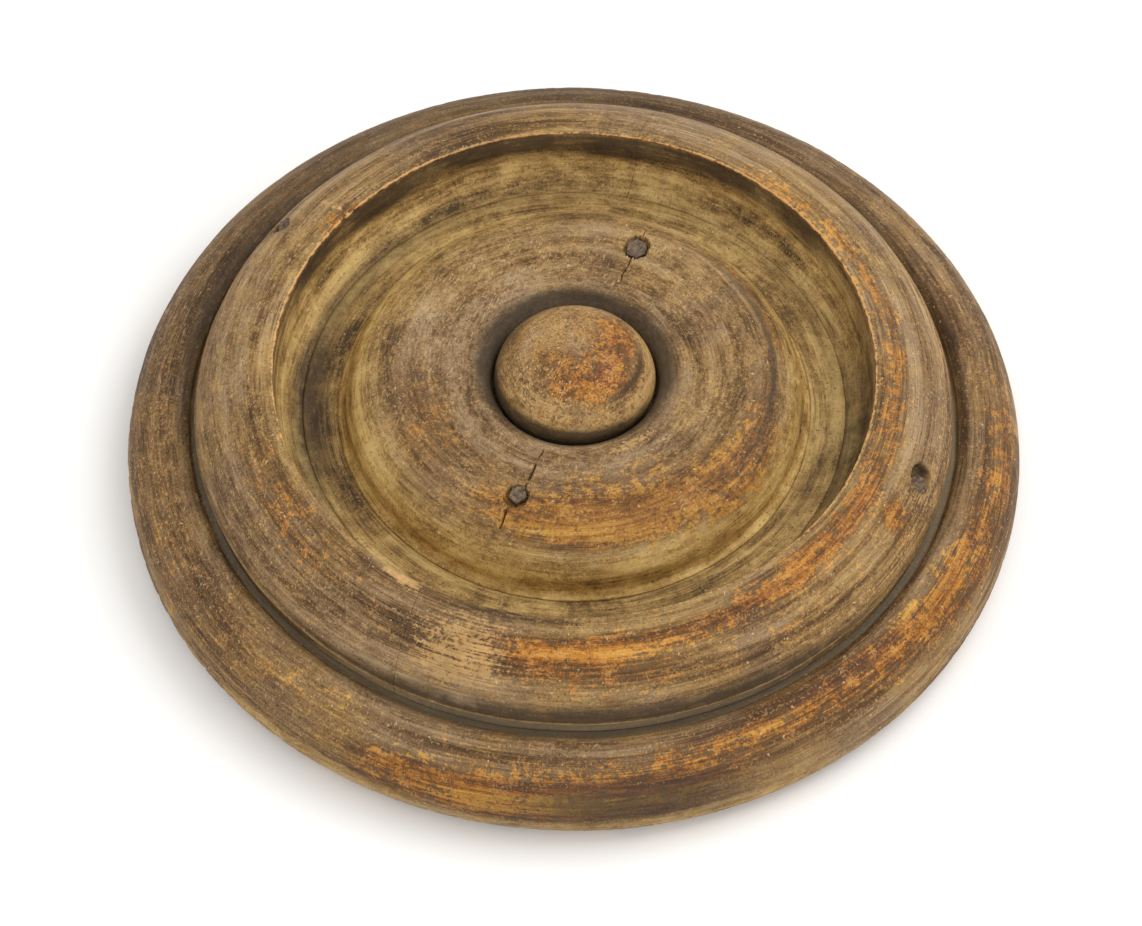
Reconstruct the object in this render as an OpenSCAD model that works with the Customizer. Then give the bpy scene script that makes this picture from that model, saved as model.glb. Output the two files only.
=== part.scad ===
// Round wooden cheese mold: a turned base board, a raised rim sawn from two boards, a nailed
// centre boss and a domed knob whose tenon runs through the whole block.
// The origin is the centre of the underside. +Z is up, and -Y is the front.

/* [Base board] */
// Diameter over the rounded edge
base_d = 300; // [290:2:310]
// Thickness of the middle, which is also the floor of the curd channel
floor_h = 36; // [34:0.5:38]
// Highest point of the rounded edge
edge_h = 31.8; // [31:0.2:33]
// Radius of the rounded edge above its widest line
edge_round = 18.5; // [17.5:0.5:19]
// Radius of the rounded edge below its widest line
foot_round = 11; // [8:1:12]
// Height of the ledge that carries the rim
ledge_h = 29.5; // [28:0.5:30.5]

/* [Rim] */
// Diameter of the sharp inner lip
lip_d = 200; // [198:0.5:202]
// Height of the lip
lip_h = 57.5; // [56:0.5:60]
// Diameter at the lower outer arris
rim_d = 253.6; // [252:0.4:254]
// Height of the lower outer arris
arris_h = 34.8; // [34:0.2:36]
// Radius of the rounded outer face
rim_round = 28.1; // [27:0.1:32]
// Radius of the cove at the foot of the inner wall
cove_round = 11.5; // [9:0.5:12]
// Distance of the board joint from the centre, to the left
joint_offset = 15; // [5:1:25]

/* [Boss] */
// Diameter where the side meets its foot
boss_d = 152; // [148:1:156]
// Height of the flat crown
boss_h = 56.8; // [55.5:0.1:58]
// Radius at which the crown starts to fall outwards
crown_r = 56; // [53:1:60]
// Radius of the fillet at the foot
boss_foot_round = 4; // [3:0.5:5]
// Radius of the rolled edge round the knob
well_round = 7; // [5:0.5:8]

/* [Knob] */
// Diameter of the dome
knob_d = 53.4; // [50:0.2:54]
// Height of the dome above its widest line
dome_h = 20.2; // [18:0.2:22]
// Height of the widest line
dome_base = 52.3; // [50:0.1:53]
// Height of the seat in the boss
seat_h = 44; // [42:0.5:46]
// Diameter of the tenon
tenon_d = 22; // [18:1:26]
// Length of the wedge
wedge_l = 26; // [16:1:30]

/* [Nails] */
// Width of a hand-forged head
head_w = 7.2; // [6:0.2:8]
// Width of the square shank under the head
shank_w = 3.6; // [3:0.2:4.4]
// Length under the head
nail_l = 42; // [36:1:44]
// How far a head is driven below the wood round it
sink = 0.8; // [0.4:0.2:1.4]

/* [Hidden] */
$fn = 96;

base_r = base_d / 2;
lip_r = lip_d / 2;
rim_r = rim_d / 2;
boss_r = boss_d / 2;
knob_r = knob_d / 2;
tenon_r = tenon_d / 2;

fit = 0.1;             // clearance between turned parts
knob_gap = 0.8;        // open line round the knob
wall_r = lip_r - 0.8;  // inner wall, just under the lip
wall_foot_r = wall_r - cove_round;
cove_end = 75;         // degrees of cove on the rim boards, before the floor takes over
spigot_r = wall_foot_r + cove_round * cos(cove_end) - fit;  // the middle, which locates the rim
fillet_r = rim_r - 0.9;         // short fillet under the arris
groove_r = rim_r + 1.4;         // outer side of the groove round the rim
edge_r = base_r - edge_round;   // centre of the upper rounding
edge_z = edge_h - edge_round;
well_r = knob_r + knob_gap;
crown_fall = boss_h - floor_h - boss_foot_round;

grain = 339.5;  // all boards run this way, counted from the front towards +X
// Each nail: [angle from the front towards +X, radius, height of the wood there]
front_nail = [340, 53.5, boss_h];
back_nail = [158.5, 56, boss_h];
left_nail = [236.2, 117.2, 50.8];
right_nail = [71.4, 119.6, 48.9];
NAILS = [front_nail, back_nail, left_nail, right_nail];

head_h = 2.4;
head_hole_r = 4.6;
tip_w = 1.2;
nail_clear = 0.08;
tenon_end = 1.5;   // the tenon stops this far above the underside
wedge_w = 2.6;     // thickness of the wedge at its outer end
wedge_tip = 1;

wood = "#7d684b";
pale_wood = "#9a8350";
knob_wood = "#8a6a3c";
iron = "#3a3633";

// Points on an ellipse round c, from angle a to angle b
function arc(c, rx, ry, a, b, n = 12) =
    [for (i = [0:n]) c + [rx * cos(a + (b - a) * i / n), ry * sin(a + (b - a) * i / n)]];

// Centre of a circle of radius r through p and q, on the side of the axis
function arc_centre(p, q, r) =
    let (half = norm(q - p) / 2)
    let (along = (q - p) / norm(q - p))
    let (back = sqrt(r * r - half * half))
    (p + q) / 2 + back * [along[1], -along[0]];

lip = [lip_r, lip_h];
arris = [rim_r, arris_h];
rim_c = arc_centre(lip, arris, rim_round);
lip_a = atan2(lip[1] - rim_c[1], lip[0] - rim_c[0]);
arris_a = atan2(arris[1] - rim_c[1], arris[0] - rim_c[0]);

// Turn to an angle counted from the front towards +X
module face(angle) {
    rotate([0, 0, angle - 90])
        children();
}

// Everything on one side of the board joint, 1 for the right and -1 for the left
module half_space(side) {
    size = base_d * 2;
    face(grain)
        translate([-size / 2, side > 0 ? -joint_offset : -joint_offset - size, -size / 4])
            cube([size, size, size]);
}

// A square bar that tapers evenly to its tip, hanging below z = 0
module taper(top, tip, long) {
    outline = [[-top / 2, 0], [-tip / 2, -long], [tip / 2, -long], [top / 2, 0]];
    intersection() {
        rotate([90, 0, 0])
            linear_extrude(top * 2, center = true)
                polygon(outline);
        rotate([90, 0, 90])
            linear_extrude(top * 2, center = true)
                polygon(outline);
    }
}

// One forged nail, driven straight down at its place
module nail(at) {
    face(at[0])
        translate([at[1], 0, at[2] - sink - head_h]) {
            cylinder(d = head_w, h = head_h * 0.6, $fn = 6);
            translate([0, 0, head_h * 0.6])
                cylinder(d = head_w * 0.7, h = head_h * 0.4, $fn = 6);
            taper(shank_w, tip_w, nail_l);
        }
}

// The broken hole that each nail sits in
module nail_hole(at) {
    face(at[0])
        translate([at[1], 0, at[2] - sink - head_h]) {
            cylinder(r = head_hole_r, h = head_h * 4);
            taper(shank_w + nail_clear * 2, tip_w + nail_clear * 2, nail_l + 1);
        }
}

module nail_holes() {
    for (at = NAILS)
        nail_hole(at);
}

module ring_profile() {
    polygon(concat(
        arc(rim_c, rim_round, rim_round, arris_a, lip_a, 14),
        arc([wall_foot_r, floor_h + cove_round], cove_round, cove_round, 0, -cove_end, 10),
        [[spigot_r + fit, ledge_h], [fillet_r, ledge_h], [fillet_r, arris_h - 0.5]]));
}

module rim_board(side) {
    difference() {
        intersection() {
            rotate_extrude()
                ring_profile();
            half_space(side);
        }
        nail_holes();
    }
}

module rim_board_left() {
    color(wood)
        rim_board(-1);
}

module rim_board_right() {
    color(wood)
        rim_board(1);
}

module base_board() {
    color(wood)
        difference() {
            rotate_extrude()
                polygon(concat(
                    [[0, 0]],
                    arc([base_r - foot_round, foot_round], foot_round, foot_round, -90, 0, 8),
                    arc([edge_r, edge_z], edge_round, edge_round, 0, 90, 14),
                    [[groove_r + 0.8, ledge_h + 1], [groove_r, ledge_h - 0.6],
                     [fillet_r + fit, ledge_h - 0.6], [fillet_r, ledge_h],
                     [spigot_r, ledge_h], [spigot_r, floor_h], [0, floor_h]]));
            translate([0, 0, -1])
                cylinder(r = tenon_r + fit, h = floor_h + 2);
            nail_holes();
        }
}

module centre_boss() {
    color(wood)
        difference() {
            rotate_extrude()
                polygon(concat(
                    [[tenon_r + fit, floor_h], [boss_r + boss_foot_round, floor_h]],
                    arc([boss_r + boss_foot_round, floor_h + boss_foot_round],
                        boss_foot_round, boss_foot_round, -105, -180, 5),
                    arc([crown_r, floor_h + boss_foot_round], boss_r - crown_r, crown_fall, 4, 90, 12),
                    arc([well_r + well_round, boss_h - well_round], well_round, well_round, 90, 180, 8),
                    [[well_r, seat_h], [tenon_r + fit, seat_h]]));
            nail_holes();
        }
}

module wedge_outline(gap = 0) {
    polygon([[-wedge_w / 2 - gap, 0], [wedge_w / 2 + gap, 0],
             [wedge_tip / 2 + gap, wedge_l + gap], [-wedge_tip / 2 - gap, wedge_l + gap]]);
}

// The wedge lies across the grain, so that it can't split the board
module wedge_solid(gap, wide) {
    translate([0, 0, tenon_end])
        face(grain)
            rotate([90, 0, 0])
                linear_extrude(wide, center = true)
                    wedge_outline(gap);
}

module centre_knob() {
    color(knob_wood)
        difference() {
            rotate_extrude()
                polygon(concat(
                    [[0, tenon_end], [tenon_r - 1, tenon_end], [tenon_r, tenon_end + 1],
                     [tenon_r, seat_h], [knob_r - 1.5, seat_h]],
                    arc([0, dome_base], knob_r, dome_h, 0, 90, 18)));
            wedge_solid(0, tenon_d * 2);
        }
}

module knob_wedge() {
    color(pale_wood)
        intersection() {
            wedge_solid(0, tenon_d * 2);
            cylinder(r = tenon_r, h = floor_h);
        }
}

module boss_nail_front() {
    color(iron)
        nail(front_nail);
}

module boss_nail_back() {
    color(iron)
        nail(back_nail);
}

module rim_nail_left() {
    color(iron)
        nail(left_nail);
}

module rim_nail_right() {
    color(iron)
        nail(right_nail);
}

base_board();
rim_board_left();
rim_board_right();
centre_boss();
centre_knob();
knob_wedge();
boss_nail_front();
boss_nail_back();
rim_nail_left();
rim_nail_right();
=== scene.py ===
# %% [markdown]
# # A round wooden cheese mold
#
# The mold is four turned pieces of old beech: a base board with a bullnose edge, a raised
# rim made of two boards, a centre boss and a domed knob. Iron nails hold the rim and the
# boss down, and a wedge holds the knob's tenon from below. This lesson builds each piece as
# a turner would, on a lathe, and then lets a hundred years of use wear it.

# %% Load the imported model
import math

import bmesh
import bpy
import numpy as np
from mathutils import Matrix, Vector, noise


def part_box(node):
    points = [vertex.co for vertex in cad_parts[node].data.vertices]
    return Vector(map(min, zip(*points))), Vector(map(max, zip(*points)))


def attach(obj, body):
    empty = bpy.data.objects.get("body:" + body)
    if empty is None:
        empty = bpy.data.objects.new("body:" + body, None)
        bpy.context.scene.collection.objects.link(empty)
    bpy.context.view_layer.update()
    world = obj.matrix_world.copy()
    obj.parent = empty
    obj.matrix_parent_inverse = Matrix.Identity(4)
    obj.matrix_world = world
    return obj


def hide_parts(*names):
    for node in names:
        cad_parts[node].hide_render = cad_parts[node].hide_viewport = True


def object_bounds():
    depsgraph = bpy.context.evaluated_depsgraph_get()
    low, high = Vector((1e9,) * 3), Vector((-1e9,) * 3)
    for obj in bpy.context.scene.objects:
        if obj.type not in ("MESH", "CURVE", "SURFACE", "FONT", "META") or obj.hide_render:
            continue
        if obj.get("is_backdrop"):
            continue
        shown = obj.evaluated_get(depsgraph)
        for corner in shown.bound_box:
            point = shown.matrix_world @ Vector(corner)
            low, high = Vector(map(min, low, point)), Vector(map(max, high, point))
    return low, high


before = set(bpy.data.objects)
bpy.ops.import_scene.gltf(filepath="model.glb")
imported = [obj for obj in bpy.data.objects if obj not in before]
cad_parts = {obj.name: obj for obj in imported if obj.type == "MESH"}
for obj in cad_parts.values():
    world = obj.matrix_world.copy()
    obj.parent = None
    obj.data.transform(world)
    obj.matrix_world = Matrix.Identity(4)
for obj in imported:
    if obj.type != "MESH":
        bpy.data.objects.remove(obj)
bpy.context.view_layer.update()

mm = 0.001
print("nodes:", ", ".join(sorted(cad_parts)))

# %% [markdown]
# ## Camera
#
# The mold is looked at from the front and well above, with a long lens from a few metres
# away, so that the circles stay nearly true ellipses. The camera comes first, because every
# later step is judged through it. It aims at the origin, and a very small shift frames it.

# %% Camera
view_height = math.radians(54.2)
view_distance = 2.4
view_roll = math.radians(0.5)
back = Vector((0, -math.cos(view_height), math.sin(view_height)))

camera_data = bpy.data.cameras.new("camera")
camera_data.sensor_width = 36
camera_data.lens = 223.7
camera_data.shift_x = -0.0024
camera_data.shift_y = 0.0064
camera_data.clip_end = 20
camera = bpy.data.objects.new("camera", camera_data)
bpy.context.scene.collection.objects.link(camera)
aim = (-back).to_track_quat("-Z", "Y").to_matrix().to_4x4()
camera.matrix_world = Matrix.Translation(back * view_distance) @ aim @ Matrix.Rotation(view_roll, 4, "Z")
bpy.context.scene.camera = camera
print("camera at", [round(c, 3) for c in camera.location])

# %% [markdown]
# ## One helper for node trees
#
# Both Geometry Nodes and materials are graphs. `add` makes one node, sets its settings, and
# fills or links its inputs: a value is stored on the socket, and a node or a socket is
# linked to it. Everything below is written with it.

# %% The helper
def add(tree, kind, inputs=None, **settings):
    """Adds a node. inputs maps a socket's name or number to a value, a node or a socket."""
    made = tree.nodes.new(kind)
    for name, value in settings.items():
        setattr(made, name, value)
    for key, value in (inputs or {}).items():
        if isinstance(value, bpy.types.Node):
            value = value.outputs[0]
        if isinstance(value, bpy.types.NodeSocket):
            tree.links.new(value, made.inputs[key])
        else:
            made.inputs[key].default_value = value
    return made


# %% [markdown]
# ## Outlines
#
# A turned piece is one outline spun round an axis. Each outline is drawn in millimetres as
# (radius, height) points, from straight stretches and arcs, with the main radii taken from
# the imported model. `rows` then walks along it: short steps where the wood shows, long steps
# where it is hidden, and every corner rubbed round by a fraction of a millimetre, because
# worn wood has no perfectly sharp edge.

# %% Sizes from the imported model
def box_mm(node):
    """A node's lowest and highest corner, in millimetres."""
    low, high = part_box(node)
    return low / mm, high / mm


base_r = box_mm("base_board")[1].x
floor_h = box_mm("base_board")[1].z
rim_r = box_mm("rim_board_right")[1].x
lip_h = box_mm("rim_board_right")[1].z
ledge_h = box_mm("rim_board_right")[0].z
boss_h = box_mm("centre_boss")[1].z
boss_foot_r = box_mm("centre_boss")[1].x
knob_r = box_mm("centre_knob")[1].x
knob_top = box_mm("centre_knob")[1].z
tenon_end = box_mm("centre_knob")[0].z
print(f"base {base_r:.1f}, rim {rim_r:.1f}, boss foot {boss_foot_r:.1f}, knob {knob_r:.1f} mm in radius")


# %% Drawing an outline
def arc(centre, radii, start, end, count=48):
    """Points on an ellipse round centre, in degrees anticlockwise from straight out."""
    angles = np.radians(np.linspace(start, end, count + 1))
    return np.stack([centre[0] + radii[0] * np.cos(angles), centre[1] + radii[1] * np.sin(angles)], 1)


def rows(points, fine, hidden, closed=True, rub=0.45, leap=6, crisp=lambda r, z: np.zeros(len(r), bool)):
    """Rows of a lathe grid along an outline. Where hidden(r, z) is true, steps are leap times as long."""
    path = np.vstack(points)
    if closed:
        path = np.vstack([path, path[:1]])
    length = np.concatenate([[0], np.cumsum(np.hypot(*np.diff(path, axis=0).T))])
    steps = np.arange(0, length[-1], 0.1)
    dense = np.stack([np.interp(steps, length, path[:, i]) for i in (0, 1)], 1)
    window = int(rub / 0.1)
    ends = np.vstack([dense[-window:], dense, dense[:window]]) if closed else np.pad(
        dense, ((window, window), (0, 0)), mode="edge")
    kernel = np.hanning(2 * window + 3)[1:-1]
    kernel /= kernel.sum()
    round_path = np.stack([np.convolve(ends[:, i], kernel, "valid") for i in (0, 1)], 1)
    keep = crisp(*dense.T)
    round_path[keep] = dense[keep]
    if not closed:
        round_path[0], round_path[-1] = path[0], path[-1]
    picked, walked = [0], 0.0
    for i in range(1, len(round_path)):
        walked += np.hypot(*(round_path[i] - round_path[i - 1]))
        if walked >= (fine * leap if hidden(*round_path[i]) else fine):
            picked.append(i)
            walked = 0.0
    chosen = round_path[picked]
    last = round_path[:1] if closed else round_path[-1:]
    return np.vstack([chosen, last])


# %% The four outlines
lip_r = 100.0
arris_h = 34.8
rim_round = 28.1
wall_r = lip_r - 0.8
cove = 11.5
foot_edge_r = wall_r - cove + cove * math.cos(math.radians(75))
cove_end_h = floor_h + cove - cove * math.sin(math.radians(75))
fillet_r = rim_r - 0.9
edge_round = 18.5
edge_h = 31.8
foot_round = 11.0
boss_r = boss_foot_r - 4
crown_r = 56.0
well_r = knob_r + 0.8
well_round = 7.0
seat_h = 44.0
tenon_r = 11.0
dome_base = 52.3


def circle_through(p, q, radius):
    """Centre of the circle of that radius through p and q, on the axis side."""
    middle, span = (p + q) / 2, q - p
    reach = math.sqrt(radius ** 2 - span @ span / 4)
    return middle + reach * np.array([span[1], -span[0]]) / np.hypot(*span)


lip, arris = np.array([lip_r, lip_h]), np.array([rim_r, arris_h])
rim_centre = circle_through(lip, arris, rim_round)
rim_angles = [math.degrees(math.atan2(*(p - rim_centre)[::-1])) for p in (arris, lip)]

base_outline = rows([
    [[tenon_r + 0.1, 0]],
    arc((base_r - foot_round, foot_round), (foot_round,) * 2, -90, 0),
    arc((base_r - edge_round, edge_h - edge_round), (edge_round,) * 2, 0, 90),
    [[rim_r + 2.2, ledge_h + 1], [rim_r + 1.4, ledge_h - 0.6], [fillet_r + 0.1, ledge_h - 0.6],
     [fillet_r - 3, ledge_h], [foot_edge_r - 0.02, ledge_h], [foot_edge_r - 0.02, cove_end_h],
     [foot_edge_r - 4, floor_h], [tenon_r + 0.1, floor_h]]],
    0.62, lambda r, z: r < 76 or r < fillet_r - 1 and z < floor_h - 1 or z < 1 and r < base_r - 20,
    rub=0.3, leap=14, crisp=lambda r, z: (r < 92) & (z > ledge_h - 1))
rim_outline = rows([
    arc(rim_centre, (rim_round,) * 2, *rim_angles),
    arc((wall_r - cove, floor_h + cove), (cove,) * 2, 0, -75),
    [[foot_edge_r, ledge_h], [fillet_r, ledge_h], [fillet_r, arris_h - 0.5]]],
    0.6, lambda r, z: z < floor_h - 0.5 and r < fillet_r - 1, crisp=lambda r, z: (z < floor_h + 1) & (r < 100))
boss_outline = rows([
    [[tenon_r + 0.1, floor_h]],
    arc((boss_foot_r, floor_h + 4), (4, 4), -100, -180),
    arc((crown_r, floor_h + 4), (boss_r - crown_r, boss_h - floor_h - 4), 4, 90),
    arc((well_r + well_round, boss_h - well_round), (well_round,) * 2, 90, 180),
    [[well_r, seat_h], [tenon_r + 0.1, seat_h]]],
    0.6, lambda r, z: z < floor_h + 0.3 and r < boss_r - 2 or r < well_r + 0.5 and z < 47)
knob_outline = rows([
    [[0, tenon_end], [tenon_r - 1, tenon_end], [tenon_r, tenon_end + 1], [tenon_r, seat_h],
     [knob_r - 1.5, seat_h]],
    arc((0, dome_base), (knob_r, knob_top - dome_base), 0, 90)],
    0.45, lambda r, z: tenon_end + 2 < z < 46, closed=False)
for name, outline in (("base", base_outline), ("rim", rim_outline), ("boss", boss_outline), ("knob", knob_outline)):
    print(f"{name}: {len(outline)} rows")

# %% [markdown]
# ## The lathe, as Geometry Nodes
#
# The shape follows a rule, so Geometry Nodes make it: a grid has one row for each outline
# point and one column for each step round the axis, and Set Position puts every grid point
# at its row's radius and height, turned by its column's angle. Merging by distance closes
# the seam and the pole. The tool's wandering then leaves rings: noise that is long round the
# axis and short along the outline, pushed in and out along the normal. The distance along
# the outline is stored, so that the finish can follow it too.

# %% The lathe tree
def socket_of(tree, name):
    """The identifier of a tree's named input."""
    return next(item.identifier for item in tree.interface.items_tree if item.name == name)


lathe = bpy.data.node_groups.new("lathe", "GeometryNodeTree")
lathe.interface.new_socket("Geometry", in_out="OUTPUT", socket_type="NodeSocketGeometry")
lathe.interface.new_socket("Geometry", in_out="INPUT", socket_type="NodeSocketGeometry")
for name, kind, value in (("Rows", "Int", 10), ("Columns", "Int", 64), ("Ring depth", "Float", 0.0),
                          ("Ring pitch", "Float", 0.002), ("Ring seed", "Float", 0.0),
                          ("Material", "Material", None)):
    made = lathe.interface.new_socket(name, in_out="INPUT", socket_type="NodeSocket" + kind)
    if value is not None:
        made.default_value = value

given = add(lathe, "NodeGroupInput")
grid = add(lathe, "GeometryNodeMeshGrid", {
    "Vertices X": given.outputs["Columns"], "Vertices Y": given.outputs["Rows"]})
index = add(lathe, "GeometryNodeInputIndex")
rows_f = given.outputs["Rows"]
column = add(lathe, "ShaderNodeMath", {
    0: add(lathe, "ShaderNodeMath", {0: index, 1: rows_f}, operation="DIVIDE")}, operation="FLOOR")
row = add(lathe, "ShaderNodeMath", {
    0: index, 1: add(lathe, "ShaderNodeMath", {0: column, 1: rows_f}, operation="MULTIPLY")},
    operation="SUBTRACT")
point = add(lathe, "GeometryNodeSampleIndex", {
    "Geometry": given.outputs["Geometry"],
    "Value": add(lathe, "GeometryNodeInputPosition"), "Index": row}, data_type="FLOAT_VECTOR")
last_column = add(lathe, "ShaderNodeMath", {0: given.outputs["Columns"], 1: 1.0}, operation="SUBTRACT")
turn = add(lathe, "ShaderNodeMath", {
    0: add(lathe, "ShaderNodeMath", {0: column, 1: last_column}, operation="DIVIDE"),
    1: 2 * math.pi}, operation="MULTIPLY")
turned = add(lathe, "ShaderNodeVectorRotate", {
    "Vector": point, "Angle": turn}, rotation_type="Z_AXIS")
spun = add(lathe, "GeometryNodeSetPosition", {"Geometry": grid, "Position": turned})
walked = add(lathe, "GeometryNodeSampleIndex", {
    "Geometry": given.outputs["Geometry"],
    "Value": add(lathe, "GeometryNodeInputNamedAttribute", {"Name": "along"}, data_type="FLOAT"),
    "Index": row}, data_type="FLOAT")
measured = add(lathe, "GeometryNodeStoreNamedAttribute", {
    "Geometry": spun, "Name": "along", "Value": walked}, data_type="FLOAT", domain="POINT")
closed = add(lathe, "GeometryNodeMergeByDistance", {"Geometry": measured, "Distance": 0.01 * mm})
place = add(lathe, "GeometryNodeInputPosition")
outward = add(lathe, "ShaderNodeVectorMath", {
    0: add(lathe, "ShaderNodeVectorMath", {0: place, 1: (1, 1, 0)}, operation="MULTIPLY")},
    operation="NORMALIZE")
pitch = add(lathe, "ShaderNodeMath", {
    0: add(lathe, "GeometryNodeInputNamedAttribute", {"Name": "along"}, data_type="FLOAT"),
    1: given.outputs["Ring pitch"]}, operation="DIVIDE")
lathe_space = add(lathe, "ShaderNodeVectorMath", {
    0: add(lathe, "ShaderNodeVectorMath", {0: outward, "Scale": 0.9}, operation="SCALE"),
    1: add(lathe, "ShaderNodeCombineXYZ", {
        "Z": add(lathe, "ShaderNodeMath", {0: pitch, 1: given.outputs["Ring seed"]}, operation="ADD")})},
    operation="ADD")
rings = add(lathe, "ShaderNodeTexNoise", {"Vector": lathe_space, "Scale": 1.0, "Detail": 3.0})
push = add(lathe, "ShaderNodeMath", {
    0: add(lathe, "ShaderNodeMath", {0: rings.outputs["Fac"], 1: 0.5}, operation="SUBTRACT"),
    1: given.outputs["Ring depth"]}, operation="MULTIPLY")
marked = add(lathe, "GeometryNodeSetPosition", {
    "Geometry": closed,
    "Offset": add(lathe, "ShaderNodeVectorMath", {
        0: add(lathe, "GeometryNodeInputNormal"), "Scale": push}, operation="SCALE")})
smooth = add(lathe, "GeometryNodeSetShadeSmooth", {"Geometry": marked, "Shade Smooth": True})
real = add(lathe, "GeometryNodeRealizeInstances", {"Geometry": smooth})
finished = add(lathe, "GeometryNodeSetMaterial", {
    "Geometry": real, "Material": given.outputs["Material"]})
add(lathe, "NodeGroupOutput", {"Geometry": finished})
print("lathe tree:", len(lathe.nodes), "nodes")


# %% [markdown]
# ## Running a tree
#
# A tree's modifier is given its values by socket identifier before anything is evaluated.
# The evaluated object then becomes a plain mesh, and the modifier goes, so that what is left
# is an ordinary piece of wood that code can carve.

# %% From tree to plain mesh
def grown(name, start, tree, values):
    """The plain mesh that a Geometry Nodes tree makes from the mesh start."""
    holder = bpy.data.objects.new(name, start)
    bpy.context.scene.collection.objects.link(holder)
    modifier = holder.modifiers.new("tree", "NODES")
    modifier.node_group = tree
    for label, value in values.items():
        modifier[socket_of(tree, label)] = value
    holder.update_tag()
    bpy.context.view_layer.update()
    evaluated = holder.evaluated_get(bpy.context.evaluated_depsgraph_get())
    mesh = bpy.data.meshes.new_from_object(evaluated)
    mesh.name = name
    bpy.data.objects.remove(holder)
    return mesh


def turned_mesh(name, outline, columns, material, ring_depth, seed):
    """A closed turned mesh from an outline in millimetres, with its faces outward."""
    profile = bpy.data.meshes.new(name + "_outline")
    points = np.stack([outline[:, 0], np.zeros(len(outline)), outline[:, 1]], 1) * mm
    profile.from_pydata(points.tolist(), [], [])
    walk = np.concatenate([[0], np.cumsum(np.hypot(*np.diff(outline, axis=0).T))]) * mm
    profile.attributes.new("along", "FLOAT", "POINT").data.foreach_set("value", walk)
    mesh = grown(name, profile, lathe, {
        "Rows": len(outline), "Columns": columns + 1, "Ring depth": ring_depth * mm,
        "Ring pitch": 1.7 * mm, "Ring seed": seed, "Material": material})
    form = bmesh.new()
    form.from_mesh(mesh)
    bmesh.ops.recalc_face_normals(form, faces=form.faces)
    open_edges = sum(not edge.is_manifold for edge in form.edges)
    form.to_mesh(mesh)
    form.free()
    print(f"{name}: {len(mesh.polygons)} faces, {open_edges} open edges")
    return mesh


# %% [markdown]
# ## Colours
#
# Colours are written as sRGB hex, the way a picker shows them, and one function makes them
# linear for the shader.

# %% Colour helper
def hex_colour(text, alpha=1.0):
    """Linear RGBA of an sRGB hex colour."""
    channels = [int(text[i:i + 2], 16) / 255 for i in (1, 3, 5)]
    return (*[c / 12.92 if c <= 0.04045 else ((c + 0.055) / 1.055) ** 2.4 for c in channels], alpha)


def ramp(tree, factor, stops, interpolation="LINEAR"):
    """A colour ramp through (position, hex colour) stops."""
    made = add(tree, "ShaderNodeValToRGB", {0: factor})
    made.color_ramp.interpolation = interpolation
    while len(made.color_ramp.elements) < len(stops):
        made.color_ramp.elements.new(0.5)
    for element, (position, colour) in zip(made.color_ramp.elements, stops):
        element.position = position
        element.color = hex_colour(colour)
    return made


def mixed(tree, factor, below, above, blend="MIX"):
    """above laid over below, as far as factor says."""
    return add(tree, "ShaderNodeMix", {0: factor, 6: below, 7: above},
               data_type="RGBA", blend_type=blend, clamp_factor=True).outputs[2]


def maths(tree, operation, *values):
    """One arithmetic node."""
    return add(tree, "ShaderNodeMath", dict(enumerate(values)), operation=operation).outputs[0]


def between(tree, value, low, high):
    """0 below low, 1 above high, and smooth between."""
    return add(tree, "ShaderNodeMapRange", {0: value, 1: low, 2: high}, interpolation_type="SMOOTHSTEP")


# %% [markdown]
# ## The finish: old turned beech
#
# The wood is beech with a dark film of whey, smoke and hands. Four things make it look as it
# does. The tool and the wiping cloth went round the axis, so thin streaks of film follow the
# turning. The fibres run straight through the board, so flecks and ticks of bare wood follow
# the grain. Where hands rubbed the film thin, the varnish-like layer below glows amber, and
# where it is gone, pale wood shows. Dirt lies in the grooves and round the knob. Dark stains
# are mixed with painted shade in the recesses, under the lip and on sides turned from the
# lamps, and pale patches and a thin line along the rim's lip are painted light. The turning's
# streaks use a lathe's own coordinates: the direction from the axis and the distance along the
# outline. They have no seam, and they stay thin wherever the surface turns.

# %% The wood material
grain_angle = math.radians(339.5 - 90)


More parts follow.
